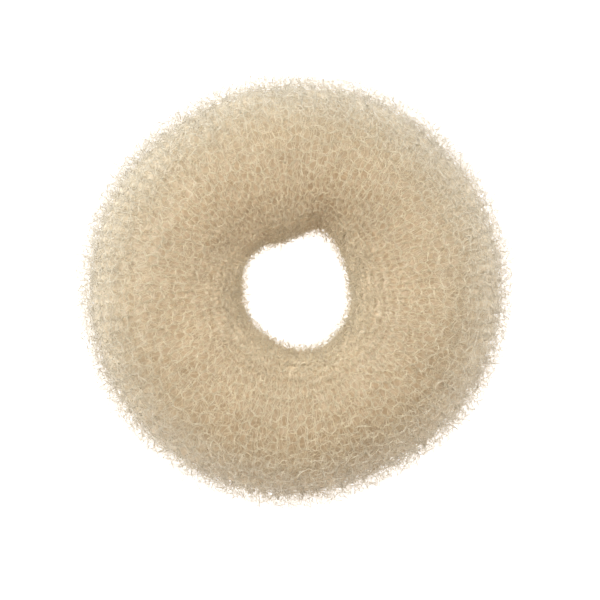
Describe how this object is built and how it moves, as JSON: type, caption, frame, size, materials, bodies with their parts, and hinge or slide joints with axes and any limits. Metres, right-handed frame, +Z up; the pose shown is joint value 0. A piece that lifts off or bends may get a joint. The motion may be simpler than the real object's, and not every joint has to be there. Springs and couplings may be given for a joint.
{
  "type": "hair donut",
  "caption": "Soft ring of rolled-up knitted net with a central hole: a ponytail is pulled through it and spread over it to shape a round bun.",
  "frame": {"origin": "middle of the hole on the plane that the ring rests on, lying on its side", "axes": "+Z up through the hole; +X and +Y across the ring, with +Y towards the top of the picture"},
  "size_m": [0.0901, 0.0897, 0.032],
  "materials": {
    "knitted_net": "open knitted net of fine springy nylon yarn, cream, slightly glossy, many turns deep"
  },
  "bodies": {
    "root": {"rolled_net": "knitted_net"}
  },
  "joints": []
}
